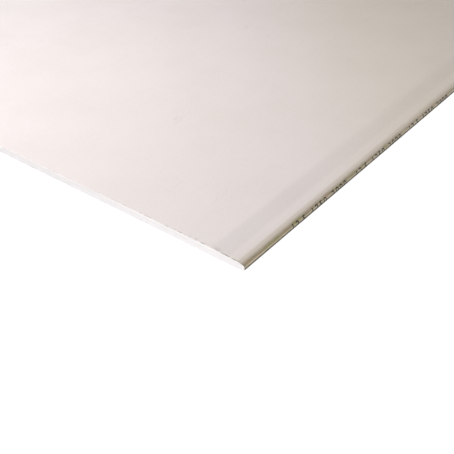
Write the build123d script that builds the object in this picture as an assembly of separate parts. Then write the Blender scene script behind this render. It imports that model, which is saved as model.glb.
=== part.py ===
from build123d import *
import os
from math import atan2, cos, degrees, hypot, radians, sin, tan

# Drywall sheet lying face up: a gypsum core cast between two paper liners.
# Sizes are in millimetres and turns in degrees. X runs across the sheet, Y along
# it and Z up through its thickness. The origin is the middle of the back, which
# is what the sheet lies on.

# The whole board
board_width = 1250.0
board_length = 2000.0
board_thickness = 12.5

# The paper liners
face_paper_thickness = 0.3
back_paper_thickness = 0.3
flap_width = 25.0  # how far the face paper is folded in over the back, from the long side
back_paper_margin = 10.0  # bare strip of that flap, between the back paper and the long side

# The rounded long side, from the back up to the taper
foot_radius = 1.5  # crease where the face paper turns under the board
upright_height = 2.8  # plain upright stretch above the crease
crown_radius = 27.6  # wide round between the nose and the taper
crown_turn = 22.0

# The taper that leaves room for joint filler, from the long side inward
shoulder_width = 13.0  # nearly level strip beside the rounded side
shoulder_fall = 0.15
ramp_width = 30.0  # steeper strip that climbs to the level of the face
ramp_fall = 1.5
ramp_ease_radius = 180.0  # eases the ramp into the strips on both sides of it

# Slopes and turns that follow from the taper
shoulder_slope = degrees(atan2(shoulder_fall, shoulder_width))
ramp_slope = degrees(atan2(ramp_fall, ramp_width))
ramp_foot_turn = ramp_slope - shoulder_slope
nose_turn = 90.0 - shoulder_slope - crown_turn

# The nose is the tight round that joins the upright stretch to the crown. It
# takes up the height that the other parts of the side leave.
side_half_width = board_width / 2
upright_foot = back_paper_thickness + foot_radius
upright_top = upright_foot + upright_height
shoulder_height = board_thickness - ramp_fall - shoulder_fall
crown_rise = crown_radius * (cos(radians(shoulder_slope)) - sin(radians(nose_turn)))
nose_radius = (shoulder_height - upright_top - crown_rise) / sin(radians(nose_turn))


def straight_on(stretch, length):
    """A straight stretch that carries on from the end of another, the way it heads."""
    return Line(stretch @ 1, stretch @ 1 + (stretch % 1) * length)


def bend_on(stretch, radius, turn):
    """A round stretch that carries on from the end of another; a positive turn is to the left."""
    return JernArc(stretch @ 1, stretch % 1, radius, turn)


def ease_length(turn):
    """What one ramp ease takes off the end of a straight stretch."""
    return ramp_ease_radius * tan(radians(turn) / 2)


def taper_stretches(nose_end, inset):
    """The crown, shoulder and ramp, from the end of the nose up to the flat face."""
    shoulder_length = hypot(shoulder_width, shoulder_fall) - ease_length(ramp_foot_turn)
    ramp_length = hypot(ramp_width, ramp_fall) - ease_length(ramp_foot_turn) - ease_length(ramp_slope)
    crown = bend_on(nose_end, crown_radius - inset, crown_turn)
    shoulder = straight_on(crown, shoulder_length)
    ramp_foot = bend_on(shoulder, ramp_ease_radius + inset, -ramp_foot_turn)
    ramp = straight_on(ramp_foot, ramp_length)
    ramp_head = bend_on(ramp, ramp_ease_radius - inset, ramp_slope)
    return [crown, shoulder, ramp_foot, ramp, ramp_head]


def side_outline(inset):
    """Half of the board's section, open on the middle line: from the inner end of the flap
    under the board, round the long side and over the taper to the middle of the face.
    An inset of 0 follows the outside of the face paper, and every stretch of a larger one
    lies that far inside it, with the same centres and the same turns."""
    flap_height = back_paper_thickness + inset
    flap = Line(
        (side_half_width - flap_width, flap_height),
        (side_half_width - foot_radius, flap_height),
    )
    foot = bend_on(flap, foot_radius - inset, 90.0)
    upright = straight_on(foot, upright_height)
    nose = bend_on(upright, nose_radius - inset, nose_turn)
    taper = taper_stretches(nose, inset)
    face_start = taper[-1] @ 1
    face = Line(face_start, (0.0, face_start.Y))
    return [flap, foot, upright, nose, *taper, face]


def along_the_board(half_section):
    """Complete a half section across the middle line and run it the length of the board."""
    upright_section = Plane.XZ * half_section
    half = extrude(upright_section, board_length / 2, both=True)
    return (half + mirror(half, about=Plane.YZ)).clean()


def make_face_paper():
    """The ivory liner: over the face, round both long sides and folded in over the back."""
    outside = side_outline(0.0)
    inside = side_outline(face_paper_thickness)
    flap_end = Line(inside[0] @ 0, outside[0] @ 0)
    middle = Line(outside[-1] @ 1, inside[-1] @ 1)
    return along_the_board(make_face([*outside, middle, *inside, flap_end]))


def make_gypsum_core():
    """The cast core: it fills the face paper, with a shallow step over each folded flap."""
    edge = side_outline(face_paper_thickness)
    middle_foot = (0.0, back_paper_thickness)
    step_foot = (side_half_width - flap_width, back_paper_thickness)
    middle = Line(edge[-1] @ 1, middle_foot)
    back = Line(middle_foot, step_foot)
    step = Line(step_foot, edge[0] @ 0)
    return along_the_board(make_face([*edge, middle, back, step]))


def make_back_paper():
    """The grey liner: across the back, lapped over both flaps and short of the long sides."""
    liner_half_width = side_half_width - back_paper_margin
    half_liner = Rectangle(liner_half_width, back_paper_thickness, align=(Align.MIN, Align.MIN))
    return along_the_board(half_liner)


pieces = {
    "gypsum_core": make_gypsum_core(),
    "face_paper": make_face_paper(),
    "back_paper": make_back_paper(),
}

os.makedirs("parts", exist_ok=True)
for name, piece in pieces.items():
    export_step(piece, f"parts/{name}.step")
    size = piece.bounding_box().size
    print(f"{name}: {size.X:.2f} x {size.Y:.2f} x {size.Z:.2f} mm, {piece.volume / 1e6:.3f} litres")
print(f"nose radius {nose_radius:.2f} mm, turning {nose_turn:.1f} degrees")
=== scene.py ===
# %% [markdown]
# # A sheet of drywall, lying face up
#
# A drywall sheet is a sandwich. Wet gypsum is cast between two papers on a moving belt, it sets
# within minutes, and the endless board is sawn to length. So three things show on a sheet: the
# smooth paper of the face, which also wraps the two long sides, the chalky core at the two sawn
# ends, and the coarser paper of the back.
#
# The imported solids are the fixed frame. They have the right sizes, but few facets and no finish,
# so each of the three gets a finer mesh here, inside the same box, and a finish of its own.

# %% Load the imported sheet
import math

import bmesh
import bpy
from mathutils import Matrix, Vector, noise


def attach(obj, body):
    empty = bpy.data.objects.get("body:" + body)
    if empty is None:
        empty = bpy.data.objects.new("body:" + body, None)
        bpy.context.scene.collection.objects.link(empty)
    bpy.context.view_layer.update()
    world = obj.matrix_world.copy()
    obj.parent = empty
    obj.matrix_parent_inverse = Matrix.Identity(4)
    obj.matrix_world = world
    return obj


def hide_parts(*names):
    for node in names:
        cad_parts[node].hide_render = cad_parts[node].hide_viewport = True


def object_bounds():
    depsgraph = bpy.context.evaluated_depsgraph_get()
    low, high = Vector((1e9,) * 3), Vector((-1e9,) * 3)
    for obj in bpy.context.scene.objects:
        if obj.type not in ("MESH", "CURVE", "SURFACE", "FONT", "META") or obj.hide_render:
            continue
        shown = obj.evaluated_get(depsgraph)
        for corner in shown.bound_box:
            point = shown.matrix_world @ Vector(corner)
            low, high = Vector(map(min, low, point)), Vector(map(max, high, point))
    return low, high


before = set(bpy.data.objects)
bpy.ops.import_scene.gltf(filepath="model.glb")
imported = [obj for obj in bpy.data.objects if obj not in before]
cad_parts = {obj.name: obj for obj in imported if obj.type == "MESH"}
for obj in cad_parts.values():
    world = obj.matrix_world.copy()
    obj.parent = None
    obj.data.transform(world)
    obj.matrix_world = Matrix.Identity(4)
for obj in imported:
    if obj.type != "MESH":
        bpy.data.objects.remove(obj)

mm = 0.001
cad_low, cad_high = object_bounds()
half_width = cad_high.x
half_length = cad_high.y
thickness = cad_high.z
print(f"sheet {2 * half_width:.3f} x {2 * half_length:.3f} m, {thickness / mm:.1f} mm thick")

# %% [markdown]
# ## The camera
#
# The photograph looks down on one corner of the sheet, and the rest runs out of the picture. The
# camera is placed from that corner, so it stays right if the sheet's size changes. Its turn,
# tilt and lens come from where the two lower edges of the sheet run and where they would meet
# the horizon.

# %% Camera
near_corner = Vector((half_width, -half_length, 0.0))
camera_from_corner = Vector((478.1, -656.1, 682.0)) * mm
camera_yaw = math.radians(37.69)
camera_pitch = math.radians(36.82)
lens_length = 62.97  # in mm, like the sensor's width
sensor_width = 36.0
nearest_seen = 10 * mm

camera_data = bpy.data.cameras.new("camera")
camera_data.lens = lens_length
camera_data.sensor_width = sensor_width
camera_data.clip_start = nearest_seen
camera = bpy.data.objects.new("camera", camera_data)
camera.location = near_corner + camera_from_corner
camera.rotation_euler = (math.pi / 2 - camera_pitch, 0.0, camera_yaw)
bpy.context.scene.collection.objects.link(camera)
bpy.context.scene.camera = camera
bpy.context.scene.view_settings.view_transform = "Standard"
print(f"camera {camera_from_corner.length:.3f} m from the near corner")

# %% [markdown]
# ## Arithmetic on shader sockets
#
# A finish is mostly sums: this much of one pattern, less where another is strong. Blender adds a
# Math node for each step, and a page of `nodes.new` hides the sum. So one small class wraps a
# socket, and plain Python operators on it add the Math nodes. Colours and vectors keep their own
# nodes, because a Math node would turn a colour grey.
#
# Three methods make the masks. `eased` is a smooth step from one value to another, `fading` is
# the same step down from 1 to 0, and `between` is a band with a soft edge on both sides.

# %% A socket that understands arithmetic
class Socket:
    """An output socket of a node tree. Operators on it add Math nodes; add() adds any node."""

    def __init__(self, tree, output=None):
        self.tree = tree
        self.output = output

    def add(self, kind, settings=None, sockets=None, output=0):
        """A new node: first its settings, then a value or a link for each named socket."""
        node = self.tree.nodes.new(kind)
        for name, setting in (settings or {}).items():
            setattr(node, name, setting)
        for name, given in (sockets or {}).items():
            if isinstance(given, Socket):
                self.tree.links.new(given.output, node.inputs[name])
            else:
                node.inputs[name].default_value = given
        return Socket(self.tree, node.outputs[output] if len(node.outputs) else None)

    def maths(self, operation, first, second=0.0):
        return self.add("ShaderNodeMath", {"operation": operation}, {0: first, 1: second})

    def __add__(self, other):
        return self.maths("ADD", self, other)

    def __sub__(self, other):
        return self.maths("SUBTRACT", self, other)

    def __rsub__(self, other):
        return self.maths("SUBTRACT", other, self)

    def __mul__(self, other):
        return self.maths("MULTIPLY", self, other)

    def __abs__(self):
        return self.maths("ABSOLUTE", self)

    __radd__ = __add__
    __rmul__ = __mul__

    def larger(self, other):
        return self.maths("MAXIMUM", self, other)

    def at_most(self, limit):
        return self.maths("MINIMUM", self, limit)

    def part(self, axis):
        """The X, Y or Z part of this vector."""
        return self.add("ShaderNodeSeparateXYZ", None, {0: self}, axis)

    def length(self):
        """How long this vector is."""
        return self.add("ShaderNodeVectorMath", {"operation": "LENGTH"}, {0: self}, "Value")

    def stretched(self, across, along, up):
        """This vector with its parts multiplied, which squeezes a pattern along an axis."""
        factors = (across, along, up)
        return self.add("ShaderNodeVectorMath", {"operation": "MULTIPLY"}, {0: self, 1: factors})

    def eased(self, low, high, at_low=0.0, at_high=1.0):
        """A smooth step: at_low up to low, at_high from high on, and an S curve between."""
        smooth = {"interpolation_type": "SMOOTHSTEP"}
        limits = {"From Min": low, "From Max": high, "To Min": at_low, "To Max": at_high}
        return self.add("ShaderNodeMapRange", smooth, {"Value": self, **limits}, "Result")

    def fading(self, low, high):
        """A smooth step down: 1 up to low and 0 from high on."""
        return self.eased(low, high, 1.0, 0.0)

    def between(self, rise, fall):
        """A soft band: it rises over the first pair of values and falls over the second."""
        return self.eased(*rise) * self.fading(*fall)

    def noise(self, scale, detail=2.0, roughness=0.5):
        """Cloudy noise at this place, near 0.5 on average; scale is in patches to the metre."""
        sizes = {"Vector": self, "Scale": scale, "Detail": detail, "Roughness": roughness}
        return self.add("ShaderNodeTexNoise", None, sizes, "Fac")

    def from_dot(self, scale):
        """How far the nearest of many scattered dots is; scale is in dots to the metre."""
        return self.add("ShaderNodeTexVoronoi", None, {"Vector": self, "Scale": scale}, "Distance")


print("socket arithmetic is ready")

# %% [markdown]
# ## Colours and finishes
#
# Colours are easiest to read as a screen shows them, in levels from 0 to 255, but shaders mix
# light, so `paint` converts them. Every finish starts with an empty material and the place of
# the shaded point on the sheet, and ends with one plain surface shader.

# %% Helpers for finishes
paper_and_plaster_ior = 1.4


def paint(red, green, blue):
    """A colour as it reads on a screen, as the light values that shaders mix."""
    levels = []
    for channel in (red, green, blue):
        share = channel / 255
        levels.append(share / 12.92 if share <= 0.04045 else ((share + 0.055) / 1.055) ** 2.4)
    return (*levels, 1.0)


def grey(level):
    """A grey that gives back this share of the light."""
    return (level, level, level, 1.0)


def mixed(share, first, second, blend="MIX"):
    """First colour turned towards the second by a share, which is a socket."""
    settings = {"data_type": "RGBA", "blend_type": blend}
    return share.add("ShaderNodeMix", settings, {0: share, 6: first, 7: second}, output=2)


def new_finish(name):
    """An empty material, and the place of the shaded point as a vector socket."""
    material = bpy.data.materials.new(name)
    material.use_nodes = True
    material.node_tree.nodes.clear()
    return material, Socket(material.node_tree).add("ShaderNodeTexCoord", output="Object")


def raised(relief, strength, depth):
    """The normal of a surface that a relief lifts by up to this depth."""
    sizes = {"Strength": strength, "Distance": depth, "Height": relief}
    return relief.add("ShaderNodeBump", None, sizes)


def surface(colour, roughness, **others):
    """A plain surface shader with these sockets, led to the material's output."""
    sockets = {"Base Color": colour, "Roughness": roughness, "IOR": paper_and_plaster_ior}
    shader = colour.add("ShaderNodeBsdfPrincipled", None, {**sockets, **others})
    colour.add("ShaderNodeOutputMaterial", None, {"Surface": shader})


print("a mid grey of 128 levels gives back", round(paint(128, 128, 128)[0], 3), "of the light")

# %% [markdown]
# ## A white studio
#
# Building products are shown cut out on white. Turning the lamps up until the floor burns out
# would burn out the paper too, so the floor is an ordinary pale floor for every ray but the
# camera's. A ray from the camera, or one seen by reflection or through glass, meets a nearly
# white glow with a little of the real shading on top. The shadow under the sheet stays, and the
# sheet is still lit by a floor of believable brightness. The world does the same for the
# backdrop. Far from the sheet the glow rises to pure white, so no horizon shows from low down.

# %% Floor and backdrop
floor_reach = 30.0
floor_drop = 0.1 * mm
floor_paint = paint(230, 230, 230)
shading_kept = grey(0.2)
near_white = grey(0.945)
pure_white = grey(1.0)
near_white_until, pure_white_from = 1.6, 5.0
fill_light = (0.16, 0.125, 0.1, 1.0)


def seen_directly(start):
    """1 for a ray from the camera or one that a mirror or glass sends on, and 0 for others."""
    camera_ray = start.add("ShaderNodeLightPath", output="Is Camera Ray")
    mirror_ray = start.add("ShaderNodeLightPath", output="Is Glossy Ray")
    glass_ray = start.add("ShaderNodeLightPath", output="Is Transmission Ray")
    return (camera_ray + mirror_ray + glass_ray).at_most(1.0)


def make_floor():
    mesh = bpy.data.meshes.new("floor")
    corners = [(-1, -1), (1, -1), (1, 1), (-1, 1)]
    vertices = [(x * floor_reach, y * floor_reach, -floor_drop) for x, y in corners]
    mesh.from_pydata(vertices, [], [(0, 1, 2, 3)])
    floor = bpy.data.objects.new("floor", mesh)
    bpy.context.scene.collection.objects.link(floor)
    material, place = new_finish("studio floor")
    real = place.add("ShaderNodeBsdfDiffuse", None, {"Color": floor_paint})
    shading = place.add("ShaderNodeBsdfDiffuse", None, {"Color": shading_kept})
    far_off = place.length().eased(near_white_until, pure_white_from)
    glow_sockets = {"Color": mixed(far_off, near_white, pure_white), "Strength": 1.0}
    glow = place.add("ShaderNodeEmission", None, glow_sockets)
    shown = place.add("ShaderNodeAddShader", None, {0: shading, 1: glow})
    either = place.add("ShaderNodeMixShader", None, {0: seen_directly(place), 1: real, 2: shown})
    place.add("ShaderNodeOutputMaterial", None, {"Surface": either})
    mesh.materials.append(material)


def make_backdrop():
    world = bpy.data.worlds.new("studio")
    bpy.context.scene.world = world
    world.use_nodes = True
    world.node_tree.nodes.clear()
    start = Socket(world.node_tree)
    lighting = start.add("ShaderNodeBackground", None, {"Color": fill_light, "Strength": 1.0})
    white = start.add("ShaderNodeBackground", None, {"Color": pure_white, "Strength": 1.0})
    sockets = {0: seen_directly(start), 1: lighting, 2: white}
    either = start.add("ShaderNodeMixShader", None, sockets)
    start.add("ShaderNodeOutputWorld", None, {"Surface": either})


make_floor()
make_backdrop()
print(f"floor {2 * floor_reach:.0f} m across, {floor_drop / mm:.1f} mm under the sheet")

# %% [markdown]
# ## Four lamps
#
# The face is brightest at the left and falls off towards the far right, and the shallow taper
# along the long side shows as a darker band. Light that comes down steeply would hardly show a
# slope of three degrees. So a low, wide lamp stands off to the left and rakes across the board,
# and a lantern hangs over the near end for the fall-off. Neither reaches the sawn end or the
# long side, so a third lamp fills them from the front right. The far end is out of the picture
# and would be left in the dark, so a soft spot over it shows it from the other sides. Its cone
# ends before the part that the camera sees. All four are large, so every shadow edge is soft.

# %% Lamps
far_lamp_cone = math.radians(42)

# Name, kind, place, power in watts, colour, size, and the point that it is aimed at
lamps = [
    ("lantern", "POINT", (-0.017, -0.89, 0.877), 16.6, (1.0, 0.957, 0.944), 0.4, None),
    (
        "raking_lamp", "AREA", (-2.709, -1.172, 0.967), 116.7, (0.827, 0.874, 1.0), 0.8,
        (0.1, -0.7, 0.0),
    ),
    (
        "front_lamp", "AREA", (2.45, -2.65, 0.95), 67.5, (0.935, 0.975, 1.0), 1.2,
        (0.3, -0.9, 0.0),
    ),
    ("far_lamp", "SPOT", (0.0, 1.7, 2.4), 90.0, (1.0, 0.96, 0.93), 0.5, (0.0, 1.15, 0.0)),
]


def add_lamp(name, kind, place, power, colour, size, target):
    data = bpy.data.lights.new(name, kind)
    data.energy = power
    data.color = colour
    if kind == "AREA":
        data.shape = "SQUARE"
        data.size = size
    else:
        data.shadow_soft_size = size / 2
    if kind == "SPOT":
        data.spot_size = far_lamp_cone
        data.spot_blend = 1.0
    lamp = bpy.data.objects.new(name, data)
    lamp.location = place
    lamp.visible_camera = False
    bpy.context.scene.collection.objects.link(lamp)
    if target:
        reach = Vector(target) - lamp.location
        lamp.rotation_euler = reach.to_track_quat("-Z", "Y").to_euler()
        rise = math.degrees(math.atan2(-reach.z, reach.xy.length))
        print(f"{name} shines down on the board at {rise:.0f} degrees")


for lamp in lamps:
    add_lamp(*lamp)

# %% [markdown]
# ## The section
#
# The face paper and the core share one section: under the board, round the crease at the foot,
# up the side, round the nose and the wide crown, over the taper and along the flat face. It
# could be read from the solids' mesh, but that has few facets on the rounds, which would show
# along the edge. So it is drawn again from the same sizes, and the nose takes up the height that
# the other stretches leave.

# %% Section of the board
paper_thickness = 0.3 * mm
flap_width = 25 * mm
foot_radius = 1.5 * mm
upright_height = 2.8 * mm
crown_radius = 27.6 * mm
crown_turn = math.radians(22)
shoulder_width, shoulder_fall = 13 * mm, 0.15 * mm
ramp_width, ramp_fall = 30 * mm, 1.5 * mm
ramp_ease_radius = 180 * mm
shoulder_slope = math.atan2(shoulder_fall, shoulder_width)
ramp_slope = math.atan2(ramp_fall, ramp_width)
ramp_foot_turn = ramp_slope - shoulder_slope
nose_turn = math.pi / 2 - shoulder_slope - crown_turn
upright_top = paper_thickness + foot_radius + upright_height
shoulder_height = thickness - ramp_fall - shoulder_fall
crown_rise = crown_radius * (math.cos(shoulder_slope) - math.sin(nose_turn))
nose_radius = (shoulder_height - upright_top - crown_rise) / math.sin(nose_turn)
print(f"nose radius {nose_radius / mm:.2f} mm, ramp slope {math.degrees(ramp_slope):.1f} degrees")

# %% [markdown]
# The section is a chain of straight and round stretches, each heading off as the last one ended,
# so it can be walked like a turtle: go forward, turn a little, go forward. An inset shortens the
# radius of every left turn and lengthens that of every right turn, which keeps two skins the
# same distance apart all the way round, and keeps their points opposite each other.

# %% Walk the section
chord_turn = math.radians(3)
straight_step = 2 * mm


def ease_length(turn):
    """What one ramp ease takes off the end of a straight stretch."""
    return ramp_ease_radius * math.tan(turn / 2)


def side_stretches(inset):
    """Length and turn of each stretch, from the inner end of the flap up to the flat face."""
    foot_ease, head_ease = ease_length(ramp_foot_turn), ease_length(ramp_slope)
    shoulder_length = math.hypot(shoulder_width, shoulder_fall) - foot_ease
    ramp_length = math.hypot(ramp_width, ramp_fall) - foot_ease - head_ease
    return [
        (flap_width - foot_radius, 0.0),
        ((foot_radius - inset) * math.pi / 2, math.pi / 2),
        (upright_height, 0.0),
        ((nose_radius - inset) * nose_turn, nose_turn),
        ((crown_radius - inset) * crown_turn, crown_turn),
        (shoulder_length, 0.0),
        ((ramp_ease_radius + inset) * ramp_foot_turn, -ramp_foot_turn),
        (ramp_length, 0.0),
        ((ramp_ease_radius - inset) * ramp_slope, ramp_slope),
    ]


def walk(x, z, stretches):
    """Walk the stretches from x, z, heading along +X, and return the points passed."""
    heading = 0.0
    points = [(x, z)]
    for length, turn in stretches:
        steps = math.ceil(abs(turn) / chord_turn) if turn else math.ceil(length / straight_step)
        half_turn = turn / steps / 2
        chord = length / steps
        if turn:
            chord *= math.sin(half_turn) / half_turn
        for _ in range(steps):
            heading += half_turn
            x += chord * math.cos(heading)
            z += chord * math.sin(heading)
            heading += half_turn
            points.append((x, z))
    return points


def half_outline(inset, face_step):
    """The section of the right half, from the flap's inner end to the middle of the face."""
    side = walk(half_width - flap_width, paper_thickness + inset, side_stretches(inset))
    face_start, face_height = side[-1]
    columns = math.ceil(face_start / face_step)
    face = [(face_start * (1 - i / columns), face_height) for i in range(1, columns + 1)]
    return side + face


def full_outline(inset, face_step):
    """The right half, then its mirror image back down to the left flap's inner end."""
    right = half_outline(inset, face_step)
    return right + [(-x, z) for x, z in reversed(right[:-1])]


print("the side is walked in", len(half_outline(0, half_width)) - 2, "steps")

# %% [markdown]
# ## Meshes from a grid
#
# Every piece here is a closed skin over rows and columns of points. A few helpers are enough:
# two fill the faces between rows of vertices, and one turns vertices and faces into a piece that
# rides on the sheet, smooth except where two faces meet at a real corner.

# %% Mesh helpers
corner_angle = math.radians(40)


def strips(first_row, second_row):
    """Faces between two rows of vertex numbers."""
    return [
        (first_row[i], first_row[i + 1], second_row[i + 1], second_row[i])
        for i in range(len(first_row) - 1)
    ]


def closed_sheet(top_rows, bottom_rows):
    """Faces of a thin closed sheet: two layers of rows and the four edges that join them."""
    faces = []
    for rows in (top_rows, bottom_rows):
        for near, far in zip(rows, rows[1:]):
            faces += strips(near, far)
    for end in (0, -1):
        faces += strips(bottom_rows[end], top_rows[end])
        faces += strips([row[end] for row in bottom_rows], [row[end] for row in top_rows])
    return faces


def make_piece(name, vertices, faces, material, nodes):
    """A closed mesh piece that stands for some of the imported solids."""
    mesh = bpy.data.meshes.new(name)
    mesh.from_pydata(vertices, [], faces)
    skin = bmesh.new()
    skin.from_mesh(mesh)
    bmesh.ops.recalc_face_normals(skin, faces=skin.faces)
    open_edges = sum(1 for edge in skin.edges if len(edge.link_faces) != 2)
    skin.to_mesh(mesh)
    skin.free()
    mesh.shade_smooth()
    mesh.set_sharp_from_angle(angle=corner_angle)
    mesh.materials.append(material)
    piece = bpy.data.objects.new(name, mesh)
    bpy.context.scene.collection.objects.link(piece)
    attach(piece, "root")
    if nodes:
        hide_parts(*nodes)
    triangles = sum(len(polygon.vertices) - 2 for polygon in mesh.polygons)
    print(f"{name}: {triangles} triangles, {open_edges} open edges")


def patch_noise(seed, *place):
    """Smooth noise from -1 to 1, the same on every run; seed keeps two patterns apart."""
    spot = Vector((*place, 0.0, 0.0)[:3])
    return noise.noise(spot + Vector((seed, 2.7 * seed, 5.1 * seed)))


print(f"faces that meet at over {math.degrees(corner_angle):.0f} degrees keep a sharp corner")

# %% [markdown]
# ## The flat of the face paper
#
# Board paper is pressed from many thin layers of recycled fibre, with a pale, smooth one on top.
# From a few steps away it is nearly plain, and what makes it paper is faint: clouds where the
# pulp lies thicker, a felt of fibres that mostly run along the board, the faint lines of the
# rollers, a few darker flecks, and a light scuff here and there. Away from the near left, where
# the lamps fall off, a warm painted shade makes it a little yellower.
#
# A picture could hold these marks, but it would need unwrapping and would blur close up. So each
# mark is a mask: a smooth step on how far a point is from the side, from the end or from the
# floor, times some noise where its edge should waver. Such distances hold on any mesh.

# %% Colour of the flat face
ivory = paint(226, 219, 215)
cloud_tone, cloud_share = paint(216, 209, 201), 0.32
fleck_tone, fleck_share = paint(150, 136, 118), 0.22
scuff_tone, scuff_share = paint(188, 182, 176), 0.5
roller_share, fibre_share, felt_share = 0.08, 0.9, 0.9
# The warm tint of the painted shade away from the near left.
warm_shade_tint = (0.96, 0.955, 0.885, 1.0)


def pulp(place):
    """What the paper is made of: fine fibres, a coarser felt, and the rollers' faint lines."""
    fibre = place.stretched(1, 0.14, 1).noise(scale=900, detail=3, roughness=0.6)
    felt = place.stretched(1, 0.45, 1).noise(scale=420, detail=4, roughness=0.7)
    lines = place.stretched(1, 0.01, 1).noise(scale=55, detail=3, roughness=0.55)
    return fibre, felt, lines.eased(0.3, 0.7)


def flat_face(place, fibre, felt, roller_lines):
    """Colour of the face before anything has touched the sheet's sides and ends."""
    clouds = place.noise(scale=9, detail=4, roughness=0.6).eased(0.3, 0.75)
    thicker = clouds * cloud_share + roller_lines * roller_share
    fuzz = (fibre - 0.5) * fibre_share + (felt - 0.5) * felt_share
    colour = mixed(thicker + fuzz, ivory, cloud_tone)

    # A warmer tint over the far, dimmer part of the face: painted shade, not the paper's own
    # colour.
    wander = place.noise(scale=5) * 0.1
    painted_warm_shade = (place.part("X") + place.part("Y") + wander).eased(-0.2, 0.25)
    colour = mixed(painted_warm_shade, colour, warm_shade_tint, "MULTIPLY")

    chosen = place.noise(scale=180, detail=0).eased(0.6, 0.66)
    flecks = place.from_dot(scale=260).fading(0.1, 0.2) * chosen
    colour = mixed(flecks * fleck_share, colour, fleck_tone)

    streaks = place.stretched(1, 0.35, 1).noise(scale=120, detail=4, roughness=0.7)
    scuffs = place.noise(scale=7).eased(0.58, 0.75) * streaks.eased(0.55, 0.75)
    return mixed(scuffs * scuff_share, colour, scuff_tone)


print("flat face:", round(ivory[0], 2), "of the red light given back")

# %% [markdown]
# ## The rubbed long side
#
# Round the long side the paper is tan and dull, and much of its darkness there is painted shade.
# From the crown down come a faint olive fringe, a brownish painted shade over the crown, a tan
# band that is partly the paper's own tone and partly painted shade, a darker band of painted shade
# on the nose, a paler band of painted light on the upright stretch, where the floor would light
# it, and a painted contact shadow in the crease at the foot, all with olive and brown patches and
# fine specks. It is darkest at the near end and paler further along.
#
# Each band is a mask on the distance from the side or on the height. So the first thing to
# settle is where each one starts and ends: two distances are the soft edge of one band.

# %% Where the bands of the long side lie
# The side's tones, painted shade among them, are strongest over this length from the near end.
marked_length = 600 * mm
fringe_reach = (11 * mm, 30 * mm)
crown_reach = (9.5 * mm, 15.5 * mm)
speck_reach = (3 * mm, 10 * mm)
side_reach = (2 * mm, 8 * mm)
upright_reach = (2 * mm, 4 * mm)
# Where the band of painted shade on the nose starts and ends.
nose_shade_foot, nose_shade_head = (6.7 * mm, 7.8 * mm), (8.2 * mm, 9.2 * mm)
upright_head = (5.6 * mm, 7.0 * mm)
# Where the painted contact shadow in the crease ends.
crease_shadow_head = (3.5 * mm, 5.4 * mm)
waver_height = 3 * mm


def side_distance(place):
    """How far a point is from the nearer long side."""
    return half_width - abs(place.part("X"))


def end_distance(place):
    """How far a point is from the nearer sawn end."""
    return half_length - abs(place.part("Y"))


print(f"the rubbed band is {(nose_shade_head[0] - nose_shade_foot[1]) / mm:.1f} mm high, with soft edges")

# %% [markdown]
# The bands are laid over each other from the crown down, so that the painted contact shadow in the
# crease at the foot covers what runs under it. Noise is added to the height first, so that they
# waver along the board instead of running dead straight. Most of them are weaker away from the
# near end.

# %% Colour of the long side
# Painted shade over the crown, brownish, stronger near the near end.
crown_shade_tone = paint(160, 138, 100)
# The side's tan: partly the paper's own tone, partly painted shade.
side_tone_and_shade = paint(159, 149, 128)
# Painted shade on the nose; the same tone marks the fine specks.
nose_shade_and_speck_tone = paint(138, 127, 103)
olive_tone = paint(144, 142, 92)
brown_tone = paint(160, 134, 108)
# Painted light: the paler upright stretch, where the floor would light it.
upright_light_tone, upright_light_share = paint(192, 180, 155), 0.75
# Painted contact shadow in the crease at the foot.
crease_shadow_tone, crease_shadow_share = paint(50, 45, 37), 0.92
fringe_share = 0.055
crown_shade_near, crown_shade_far = 0.3, 0.08
far_end_weight = 0.43
patch_share = 0.5
speck_share = 0.5


def long_side(colour, place):
    """The colour with the bands of the long side over it, and the mask of the side itself."""
    from_side = side_distance(place)
    from_near_end = place.part("Y") + half_length
    # How strongly the side's tones and painted shade show: most at the near end.
    near_end_weight = from_near_end.eased(0, marked_length, 1, far_end_weight)
    fringe = from_side.eased(*fringe_reach, fringe_share, 0) * near_end_weight
    colour = mixed(fringe, colour, olive_tone)
    # Painted shade over the crown.
    crown_shade_share = from_near_end.eased(0, marked_length, crown_shade_near, crown_shade_far)
    colour = mixed(from_side.fading(*crown_reach) * crown_shade_share, colour, crown_shade_tone)
    # The tan band: partly the paper's own tone, partly painted shade.
    side = from_side.fading(*side_reach) * near_end_weight
    colour = mixed(side, colour, side_tone_and_shade)

    # Painted shade on the nose: a band on a wavering height, broken up by noise.
    drift = place.stretched(1, 0.3, 1).noise(scale=150, detail=3, roughness=0.65) - 0.5
    wavering_height = place.part("Z") + drift * waver_height
    shade_breakup = place.stretched(1, 0.3, 1).noise(scale=220, detail=3, roughness=0.7)
    nose_shade = wavering_height.between(nose_shade_foot, nose_shade_head) * side * shade_breakup.eased(0.3, 0.6, 0.65, 1)
    colour = mixed(nose_shade, colour, nose_shade_and_speck_tone)
    patches = place.noise(scale=34)
    colour = mixed(side * patches.eased(0.52, 0.64) * patch_share, colour, olive_tone)
    colour = mixed(side * patches.fading(0.36, 0.48) * patch_share, colour, brown_tone)
    speckle = place.noise(scale=380, detail=4, roughness=0.8).eased(0.5, 0.66)
    specks = from_side.fading(*speck_reach) * speckle * near_end_weight
    colour = mixed(specks * speck_share, colour, nose_shade_and_speck_tone)

    # Painted light on the upright stretch below the nose.
    below_nose = from_side.fading(*upright_reach)
    painted_upright_light = wavering_height.fading(*upright_head) * below_nose
    colour = mixed(painted_upright_light * upright_light_share, colour, upright_light_tone)
    # Painted contact shadow in the crease at the foot.
    crease_shadow = place.part("Z").fading(*crease_shadow_head) * below_nose
    return mixed(crease_shadow * crease_shadow_share, colour, crease_shadow_tone), side


print(f"the side is marked most over its first {marked_length:.1f} m")

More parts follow.
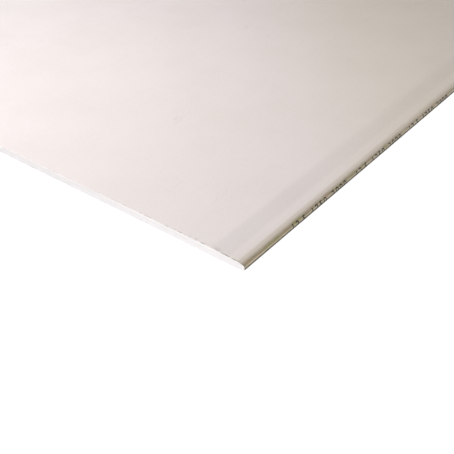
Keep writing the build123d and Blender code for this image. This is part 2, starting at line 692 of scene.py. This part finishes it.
# %% [markdown]
# ## The taper and the sawn edge
#
# The taper is painted a shade darker, as painted shade that deepens the shading of its slope.
# Beside the saw cut the paper has a broken grey line of painted shadow under its slightly lifted,
# crumpled edge, with faint smears near the corner. Its last millimetre is white with plaster dust,
# and a paler film, painted light laid on as a thin film of that dust, reaches a hand's width over
# the face.
#
# These are masks on distances too. The taper's painted shade is a multiplied colour, because it
# keeps what lies under it, while dust covers that and so is mixed in. Noise breaks up the painted
# shadow along the cut and the smears, which would look drawn as even lines.

# %% Colour of the taper and the sawn edge
# Painted shade on the taper.
taper_shade = (0.925, 0.925, 0.93, 1.0)
taper_shade_from, taper_shade_to = (23 * mm, 33 * mm), (52 * mm, 62 * mm)
taper_shade_length, taper_shade_far = 400 * mm, 0.38
plaster_dust = paint(250, 247, 246)
# A paler film near the ends: painted light, laid on as a thin film of dust.
lighter_film_reach, lighter_film_share = (40 * mm, 180 * mm), 0.1
lighter_film_edge = (12 * mm, 40 * mm)
dust_reach = (0.7 * mm, 1.2 * mm)
dust_fall_off = (60 * mm, 420 * mm)
dust_share_near_side, dust_share_inside = 0.9, 0.25
# A grey tone for the smears, and for the painted shadow along the cut.
smear_and_shadow_tone, edge_shadow_share = paint(128, 123, 117), 0.75
edge_shadow_from, edge_shadow_to = (0.9 * mm, 1.4 * mm), (1.8 * mm, 3.2 * mm)
edge_shadow_fall_off, edge_shadow_inside = (40 * mm, 300 * mm), 0.25
corner_reach, corner_share = (4 * mm, 16 * mm), 0.8
smear_reach = (2 * mm, 14 * mm)
smear_fall_off, smear_share = (40 * mm, 160 * mm), 0.3


def shade_taper(colour, place):
    """The colour with the taper's painted shade, and less of it away from the near end."""
    from_near_end = place.part("Y") + half_length
    share = from_near_end.eased(0, taper_shade_length, 1, taper_shade_far)
    # The taper's band of painted shade.
    taper_band = side_distance(place).between(taper_shade_from, taper_shade_to)
    return mixed(taper_band * share, colour, taper_shade, "MULTIPLY")


def sawn_edge(colour, place):
    """The colour with the saw's dust and smears at both ends, a paler film of painted light, and
    painted shadow along the cut.
    """
    from_side = side_distance(place)
    from_end = end_distance(place)
    # Painted light: a paler film over the face near each end, as plaster dust.
    dust_and_painted_light = from_end.eased(*lighter_film_reach, lighter_film_share, 0) * from_side.eased(*lighter_film_edge)
    colour = mixed(dust_and_painted_light, colour, plaster_dust)

    smudge = place.noise(scale=110, detail=3, roughness=0.7).eased(0.5, 0.68)
    near_corner_share = from_side.eased(*smear_fall_off, smear_share, 0)
    smears = smudge * from_end.fading(*smear_reach) * near_corner_share
    colour = mixed(smears, colour, smear_and_shadow_tone)

    # Painted shadow under the paper's lifted edge: in broken stretches, and whole round the
    # corner.
    patches = place.noise(scale=75, detail=2, roughness=0.6).eased(0.46, 0.58)
    in_places = patches * from_side.eased(*edge_shadow_fall_off, 1, edge_shadow_inside)
    round_corner = from_side.eased(*corner_reach, corner_share, 0)
    edge_shadow = in_places.larger(round_corner) * from_end.between(edge_shadow_from, edge_shadow_to)
    colour = mixed(edge_shadow * edge_shadow_share, colour, smear_and_shadow_tone)

    dust_share = from_side.eased(*dust_fall_off, dust_share_near_side, dust_share_inside)
    return mixed(from_end.fading(*dust_reach) * dust_share, colour, plaster_dust)


print(f"dust covers the last {dust_reach[0] / mm:.1f} mm and fades out {lighter_film_reach[1]:.2f} m in")

# %% [markdown]
# ## The finish of the face paper
#
# The colours are put on in this order: the flat face, the long side with its painted shade and
# light, the taper's painted shade, and the sawn edge.
# The same fibres also feed the bump and the roughness, so light and colour agree.

# %% Finish of the face paper
def face_paper_finish():
    material, place = new_finish("ivory_board_paper")
    fibre, felt, roller_lines = pulp(place)
    colour = flat_face(place, fibre, felt, roller_lines)
    colour, side = long_side(colour, place)
    colour = sawn_edge(shade_taper(colour, place), place)
    tooth = place.noise(scale=2400, detail=3, roughness=0.65)
    relief = fibre * 0.6 + felt * 0.5 + tooth * 0.4 + roller_lines * 0.08
    dullness = 0.74 + fibre * 0.12 - side * 0.08
    surface(colour, dullness, Normal=raised(relief, strength=0.45, depth=0.08 * mm))
    return material


face_paper_material = face_paper_finish()
print("face paper finish:", len(face_paper_material.node_tree.nodes), "nodes")

# %% [markdown]
# ## The shape of the papers
#
# Each paper is a skin 0.3 mm thick, in rows of points across the board. Rows are close together
# near the two cuts and far apart between them, because only the cuts have fine detail. The saw
# leaves the paper's edge a little ragged, so the rows beside a cut are nibbled back by noise.

# %% Rows of points along the board
end_rows = [0.0, 1.2 * mm, 3 * mm, 8 * mm, 20 * mm]
row_step = 50 * mm
nibble_depth = 0.7 * mm
least_row_gap = 0.4 * mm
fine_tear, wide_tear = 2.5 * mm, 14 * mm
fine_tear_seed, wide_tear_seed = 3, 5


def rows_of_points():
    """Each row's distance from the near end, its order from its own end, and if that is near."""
    inner_length = 2 * (half_length - end_rows[-1])
    inner = math.ceil(inner_length / row_step)
    middle = [end_rows[-1] + inner_length * i / inner for i in range(1, inner)]
    distances = end_rows + middle + [2 * half_length - d for d in reversed(end_rows)]
    last = len(distances) - 1
    return [(d, min(i, last - i), d < half_length) for i, d in enumerate(distances)]


def nibbled(order, x, tear):
    """A row's distance from its own end, pushed in where the saw tore the paper."""
    fine = patch_noise(fine_tear_seed, x / fine_tear, tear / fine_tear)
    torn = fine * 0.5 + patch_noise(wide_tear_seed, x / wide_tear)
    torn_depth = nibble_depth * min(1.0, max(0.0, torn))
    return max(end_rows[order], torn_depth + order * least_row_gap)


def along_at(row, x, tear):
    """Y of a point in a row: nibbled back near a cut, and plain between the cuts."""
    distance, order, is_near = row
    if order >= len(end_rows):
        return distance - half_length
    edge = nibbled(order, x, tear)
    return edge - half_length if is_near else half_length - edge


print(len(rows_of_points()), "rows of points along the board")

# %% [markdown]
# The face paper follows the section twice, outside and inside. A Solidify modifier could give
# one skin its thickness, but it couldn't thin the paper where the saw presses its edge flat.
# Here the outside is simply squeezed towards the inside. The flat face is a touch uneven too, as
# real board is, which the raking light picks up.

# %% Shape of the face paper
face_column = 3 * mm
print_film = 0.02 * mm
squeeze_shares = [0.55, 0.12]
unevenness = 0.25
dent_width, dent_length = 160 * mm, 350 * mm
dent_seed = 11


def paper_share(order, x, y):
    """How far the outside is squeezed towards the inside: at the cuts, and a little all over."""
    squeezed = squeeze_shares[order] if order < len(squeeze_shares) else 0.0
    dent = 0.5 + 0.5 * patch_noise(dent_seed, x / dent_width, y / dent_length)
    return max(squeezed, unevenness * dent)


def make_face_paper():
    outside = full_outline(print_film, face_column)
    inside = full_outline(paper_thickness, face_column)
    vertices, outer_rows, inner_rows = [], [], []
    for row in rows_of_points():
        _, order, is_near = row
        outer_row, inner_row = [], []
        for (x, z), (x_in, z_in) in zip(outside, inside):
            y = along_at(row, x, z if is_near else z + half_width)
            share = paper_share(order, x, y)
            outer_row.append(len(vertices))
            vertices.append((x + (x_in - x) * share, y, z + (z_in - z) * share))
            inner_row.append(len(vertices))
            vertices.append((x_in, y, z_in))
        outer_rows.append(outer_row)
        inner_rows.append(inner_row)
    faces = closed_sheet(outer_rows, inner_rows)
    nodes = ["face_paper"]
    make_piece("face_paper_skin", vertices, faces, face_paper_material, nodes)


make_face_paper()

# %% [markdown]
# ## The gypsum core
#
# Cut gypsum is chalk white, dull and full of tiny bubbles, because the mix is foamed to make the
# board lighter. The saw leaves a faint slanting score. Towards the long sides the top of the cut,
# under the face paper, is painted whiter: partly the denser mix, which has less foam there, and
# partly a painted highlight where the rim catches the light. Colour alone would look printed on,
# so the same grain and bubbles also feed the bump.

# %% Finish of the gypsum
chalk = paint(243, 239, 238)
# The whiter rim: partly the denser mix, partly a painted highlight.
dense_and_lit_chalk, dense_and_lit_share = paint(251, 248, 247), 0.5
bubble_tone, bubble_share = paint(214, 208, 205), 0.6
grain_share = 0.4
hard_side_reach = (60 * mm, 450 * mm)
rim_height = (thickness - 3.5 * mm, thickness - 1.5 * mm)


def gypsum_finish():
    material, place = new_finish("cut_gypsum")
    grain = place.noise(scale=1500, detail=4, roughness=0.7)
    chosen = place.noise(scale=500, detail=1).eased(0.45, 0.6)
    bubbles = place.from_dot(scale=700).fading(0.12, 0.3) * chosen
    # Top of the cut near the long sides: partly a denser mix, partly a painted highlight.
    dense_and_lit_rim = place.part("Z").eased(*rim_height) * side_distance(place).fading(*hard_side_reach)
    colour = mixed(grain * grain_share, chalk, bubble_tone)
    colour = mixed(dense_and_lit_rim * dense_and_lit_share, colour, dense_and_lit_chalk)
    colour = mixed(bubbles * bubble_share, colour, bubble_tone)
    relief = raised(grain * 0.6 - bubbles, strength=0.5, depth=0.15 * mm)
    surface(colour, 0.9 + grain * 0.08, Normal=relief)
    return material


gypsum_material = gypsum_finish()
print("gypsum finish:", len(gypsum_material.node_tree.nodes), "nodes")

# %% [markdown]
# The larger bubbles, the score of the saw and the chipped rim are deep enough to be seen from
# the side, so they are dug into the mesh itself. Each is a depth worked out from noise, and they
# are added up. Nothing is raised above the plane of the cut.

# %% Relief of the sawn ends
bubble_cell = 3.2 * mm
bubble_depth = 0.6 * mm
smallest_bubble, bubble_spread = 0.16, 0.2
no_bubble_below = -0.1
score_depth = 0.08 * mm
score_width, score_length = 1.6 * mm, 9 * mm
score_slant = 0.4
chip_depth = 2.2 * mm
chip_width, chip_height = 7 * mm, 3 * mm
no_chip_below = 0.28
rim_reach = 2.2 * mm


def bubble_pit(x, z, seed):
    """Depth of a round pit at some of the points of an irregular pattern."""
    spot = Vector((x / bubble_cell, z / bubble_cell, seed))
    distances, centres = noise.voronoi(spot)
    size = smallest_bubble + bubble_spread * abs(noise.noise(centres[0] * 3.7))
    if distances[0] > size or noise.noise(centres[0] * 1.9) < no_bubble_below:
        return 0.0
    return bubble_depth * math.sqrt(1 - (distances[0] / size) ** 2)


def cut_depth(x, z, from_rim, seed):
    """How far the sawn end lies inside the plane of the cut."""
    slanted = (x + score_slant * z) / score_width
    score = score_depth * (1 + patch_noise(seed, slanted, z / score_length))
    chipped = max(0.0, patch_noise(seed + 1, x / chip_width, z / chip_height) - no_chip_below)
    near_rim = max(0.0, 1 - from_rim / rim_reach)
    return score + bubble_pit(x, z, seed) + chip_depth * chipped * near_rim


print(f"bubbles up to {bubble_depth / mm:.1f} mm deep")

# %% [markdown]
# The core's two ends are grids of points, fine enough for that relief. The rest of the core is
# hidden by the papers, so its long faces run straight from one end grid to the other.

# %% Shape of the core
core_column = 0.8 * mm
core_rows = 14
near_end_seed, far_end_seed = 21, 47
hair = 0.01 * mm


def foot_of_core(x, right_edge):
    """Height of the underside at x: flat, a step up over the flap, then the foot's curve."""
    inner_radius = foot_radius - paper_thickness
    from_edge = right_edge - abs(x)
    flap_start = flap_width - paper_thickness
    if from_edge > flap_start:
        return paper_thickness
    if from_edge >= inner_radius:
        return 2 * paper_thickness
    drop = math.sqrt(max(0.0, inner_radius ** 2 - (inner_radius - from_edge) ** 2))
    return 2 * paper_thickness + inner_radius - drop


def end_grid(top, sign, seed, vertices):
    """Columns of vertex numbers over one sawn end; its points are added to the vertices."""
    right_edge = top[0][0]
    grid = []
    for x, top_height in top:
        bottom_height = foot_of_core(x, right_edge)
        column = []
        for k in range(core_rows + 1):
            z = bottom_height + (top_height - bottom_height) * k / core_rows
            from_rim = min(z - bottom_height, top_height - z, right_edge - abs(x))
            column.append(len(vertices))
            vertices.append((x, sign * (half_length - cut_depth(x, z, from_rim, seed)), z))
        grid.append(column)
    return grid


def make_core():
    outline = half_outline(paper_thickness, core_column)
    half_top = [(x, z) for x, z in outline if z > upright_top - hair]
    top = half_top + [(-x, z) for x, z in reversed(half_top[:-1])]
    vertices = []
    near = end_grid(top, -1, near_end_seed, vertices)
    far = end_grid(top, 1, far_end_seed, vertices)
    faces = []
    for grid in (near, far):
        for left, right in zip(grid, grid[1:]):
            faces += strips(left, right)
    for k in (0, core_rows):
        faces += strips([column[k] for column in near], [column[k] for column in far])
    for side in (0, -1):
        faces += strips(near[side], far[side])
    make_piece("gypsum_cast", vertices, faces, gypsum_material, ["gypsum_core"])


make_core()

# %% [markdown]
# ## The back paper
#
# The back is never seen on a wall, so its paper is the plain one: grey-brown, rougher, with the
# fibres and specks of what it was recycled from. It is laid on after the face paper's flaps are
# folded in, so it laps over them and stops a little short of the long sides. Dust from the saw
# clings to its two ends. The finish is made like the face paper's, from clouds, fibres and dots,
# but with stronger shares, because this paper isn't covered by a smooth top layer.

# %% Finish of the back paper
back_tone = paint(176, 166, 150)
back_cloud = paint(158, 148, 132)
back_speck, back_speck_share = paint(96, 86, 74), 0.7
back_dust_reach, back_dust_share = (1.5 * mm, 9 * mm), 0.95


def back_paper_finish():
    material, place = new_finish("grey_board_paper")
    clouds = place.noise(scale=14, detail=5, roughness=0.65).eased(0.3, 0.7)
    fibre = place.stretched(1, 0.2, 1).noise(scale=700, detail=4, roughness=0.7)
    colour = mixed(clouds * 0.6 + (fibre - 0.5) * 0.8, back_tone, back_cloud)
    chosen = place.noise(scale=120, detail=1).eased(0.5, 0.6)
    specks = place.from_dot(scale=190).fading(0.1, 0.22) * chosen
    colour = mixed(specks * back_speck_share, colour, back_speck)
    dusted = end_distance(place).fading(*back_dust_reach)
    colour = mixed(dusted * back_dust_share, colour, chalk)
    relief = raised(fibre, strength=0.4, depth=0.08 * mm)
    surface(colour, 0.82 + fibre * 0.1, Normal=relief)
    return material


back_paper_material = back_paper_finish()
print("back paper finish:", len(back_paper_material.node_tree.nodes), "nodes")

# %% [markdown]
# The back paper is flat, so two layers of points are enough. It is torn by the saw like the face
# paper, and its two long edges waver a little, as the edges of a laid-on strip do.

# %% Shape of the back paper
back_margin = 10 * mm
back_column = 5 * mm
back_edge_waver, back_waver_length = 0.5 * mm, 80 * mm
back_waver_seed = 31


def make_back_paper():
    back_half = half_width - back_margin
    columns = 2 * math.ceil(back_half / back_column)
    vertices, low_rows, high_rows = [], [], []
    for row in rows_of_points():
        low_row, high_row = [], []
        for i in range(columns + 1):
            share = 2 * i / columns - 1
            waver = 1 + patch_noise(back_waver_seed, row[0] / back_waver_length, share)
            x = share * (back_half - back_edge_waver * 0.5 * waver)
            y = along_at(row, x, half_length)
            low_row.append(len(vertices))
            vertices.append((x, y, 0.0))
            high_row.append(len(vertices))
            vertices.append((x, y, paper_thickness))
        low_rows.append(low_row)
        high_rows.append(high_row)
    faces = closed_sheet(high_rows, low_rows)
    nodes = ["back_paper"]
    make_piece("back_paper_skin", vertices, faces, back_paper_material, nodes)


make_back_paper()

# %% [markdown]
# ## Printed numbers
#
# The long side of the board is printed as it passes, in small dark ink, with plain numbers: the
# board's own thickness, width and length in millimetres. Ink painted by a mask would need each
# digit drawn in shader maths, so the digits are pieces of mesh instead. Blender's own text gives
# their flat outlines.

# %% Ink and numbers
ink_tone = paint(12, 11, 11)
worn_ink_tone = paint(84, 79, 70)
stroke_gain = 0.016
numbers = ["12.5", f"{2000 * half_width:.0f}", f"{2000 * half_length:.0f}"]


def ink_finish():
    material, place = new_finish("printing_ink")
    wear = place.noise(scale=800, detail=3, roughness=0.7).eased(0.55, 0.85)
    surface(mixed(wear, ink_tone, worn_ink_tone), 0.55 + wear * 0.3)
    return material


def flat_digit(character):
    """The mesh of one character, its foot on the line and its left edge at 0."""
    data = bpy.data.curves.new("digit", "FONT")
    data.body = character
    data.offset = stroke_gain
    carrier = bpy.data.objects.new("digit", data)
    bpy.context.scene.collection.objects.link(carrier)
    bpy.context.view_layer.update()
    outline = carrier.evaluated_get(bpy.context.evaluated_depsgraph_get())
    mesh = bpy.data.meshes.new_from_object(outline)
    bpy.data.objects.remove(carrier)
    bpy.data.curves.remove(data)
    return mesh


print("numbers:", ", ".join(numbers))

# %% [markdown]
# A flat outline has no points inside, so it can't bend. Each digit is sliced into low strips
# first, and then every point moves to the place at the same distance along the section.

# %% Wrap the numbers round the side
digit_height = 9.8 * mm
digit_stretch = 1.2
print_foot = 0.4 * mm
slice_height = 0.6 * mm
weld_distance = 0.0001  # in the flat text's own units, where a line is about 1 high
slice_tolerance = 1e-6
flat_zero = flat_digit("0")
digit_scale = digit_height / max(vertex.co.y for vertex in flat_zero.vertices)
bpy.data.meshes.remove(flat_zero)
side_path = walk(half_width - foot_radius, paper_thickness, side_stretches(0.0)[1:5])


def on_the_side(distance):
    """The point this far along the section, measured from where the foot's curve begins."""
    left = distance
    for (x, z), (next_x, next_z) in zip(side_path, side_path[1:]):
        step = math.hypot(next_x - x, next_z - z)
        if left <= step:
            share = left / step
            return x + (next_x - x) * share, z + (next_z - z) * share
        left -= step
    return side_path[-1]


def add_digit(sheet_of_ink, character, start):
    """Cut one character into strips, bend it round the side and add it to the sheet of ink."""
    mesh = flat_digit(character)
    digit = bmesh.new()
    digit.from_mesh(mesh)
    bmesh.ops.remove_doubles(digit, verts=digit.verts, dist=weld_distance)
    for vertex in digit.verts:
        across, up = vertex.co.x * digit_scale * digit_stretch, vertex.co.y * digit_scale
        vertex.co = (across, up, 0.0)
    for i in range(1, int(digit_height / slice_height) + 1):
        whole = digit.verts[:] + digit.edges[:] + digit.faces[:]
        level = (0, i * slice_height, 0)
        bmesh.ops.bisect_plane(
            digit, geom=whole, dist=slice_tolerance, plane_co=level, plane_no=(0, 1, 0)
        )
    for vertex in digit.verts:
        x, z = on_the_side(print_foot + vertex.co.y)
        vertex.co = (x, -half_length + start + vertex.co.x, z)
    bmesh.ops.recalc_face_normals(digit, faces=digit.faces)
    digit.to_mesh(mesh)
    digit.free()
    sheet_of_ink.from_mesh(mesh)
    bpy.data.meshes.remove(mesh)


print(f"{len(side_path) - 1} steps round the side, for digits {digit_height / mm:.1f} mm high")

# %% [markdown]
# The printer repeats the same line as the board passes. All the digits go into one mesh, which
# gets the thickness of a film of ink and lies half sunk in the paper.

# %% Numbers along the side
digit_pitch = 11.4 * mm
point_pitch = 5.5 * mm
print_starts_at = 113 * mm
print_period = 178 * mm
film_depth = 0.12 * mm


def make_numbers():
    sheet_of_ink = bmesh.new()
    start = print_starts_at
    while start + print_period < 2 * half_length:
        place = start
        for number in numbers:
            for character in number:
                add_digit(sheet_of_ink, character, place)
                place += point_pitch if character == "." else digit_pitch
            place += digit_pitch
        start += print_period
    for face in sheet_of_ink.faces:
        if face.normal.x < 0:
            face.normal_flip()
    bmesh.ops.solidify(sheet_of_ink, geom=sheet_of_ink.faces[:], thickness=film_depth)
    sheet_of_ink.verts.index_update()
    vertices = [tuple(vertex.co) for vertex in sheet_of_ink.verts]
    faces = [tuple(vertex.index for vertex in face.verts) for face in sheet_of_ink.faces]
    sheet_of_ink.free()
    make_piece("printed_numbers", vertices, faces, ink_finish(), [])


make_numbers()
